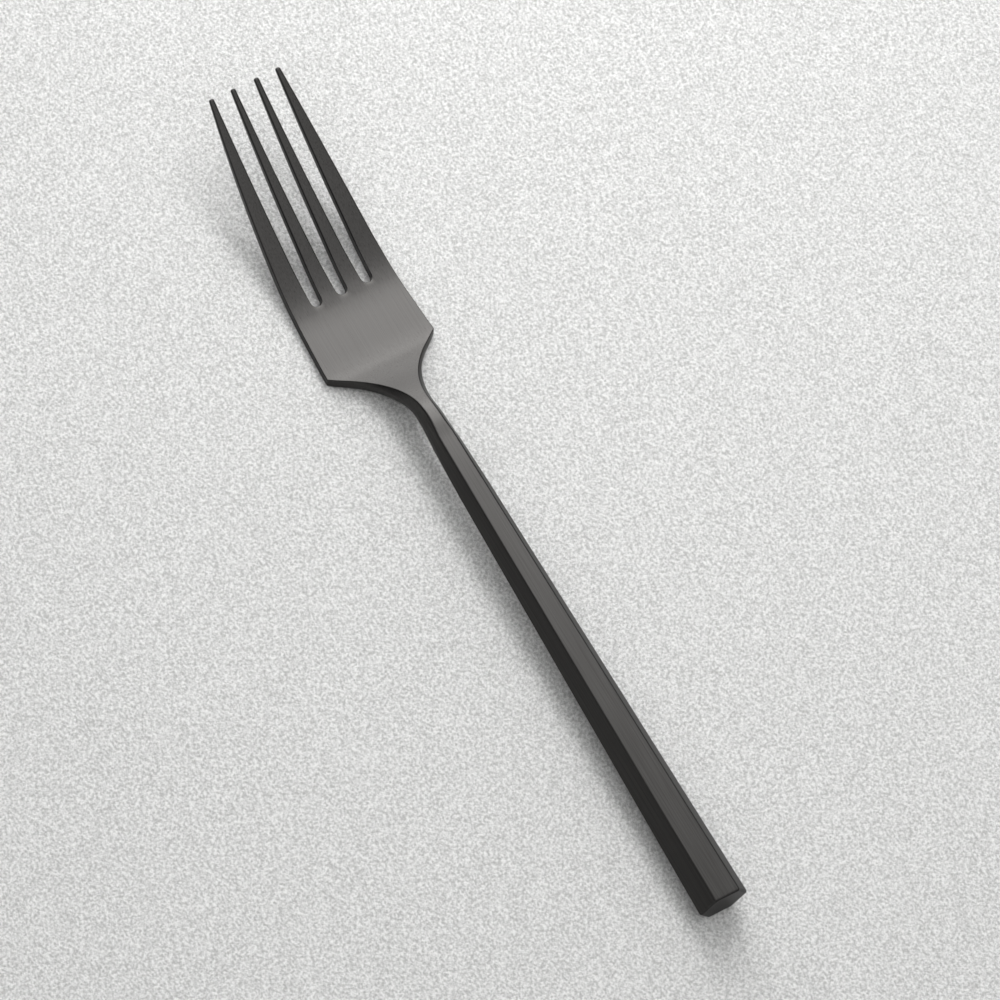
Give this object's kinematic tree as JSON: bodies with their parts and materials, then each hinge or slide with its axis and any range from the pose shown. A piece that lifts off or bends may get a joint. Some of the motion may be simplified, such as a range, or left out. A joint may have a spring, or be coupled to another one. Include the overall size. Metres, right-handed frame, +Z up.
{
  "type": "dinner fork",
  "caption": "Satin black table fork with tapering tines, flat brushed bowl with angular shoulders, arched neck and hollow six-sided handle.",
  "frame": {"origin": "on the table under the middle of the fork, between the handle's end and the tips", "axes": "+X along the fork from the handle's end to the tines' tips, +Z up from the table, +Y to the left"},
  "size_m": [0.2102, 0.0272, 0.0202],
  "materials": {
    "coated_steel": "fine brushed stainless steel under a satin black coating",
    "cast_resin": "plain cast filling, hidden inside the handle"
  },
  "bodies": {
    "root": {"fork_head": "coated_steel", "handle_upper_shell": "coated_steel", "handle_lower_shell": "coated_steel", "handle_end_cap": "coated_steel", "handle_filler": "cast_resin"}
  },
  "joints": []
}
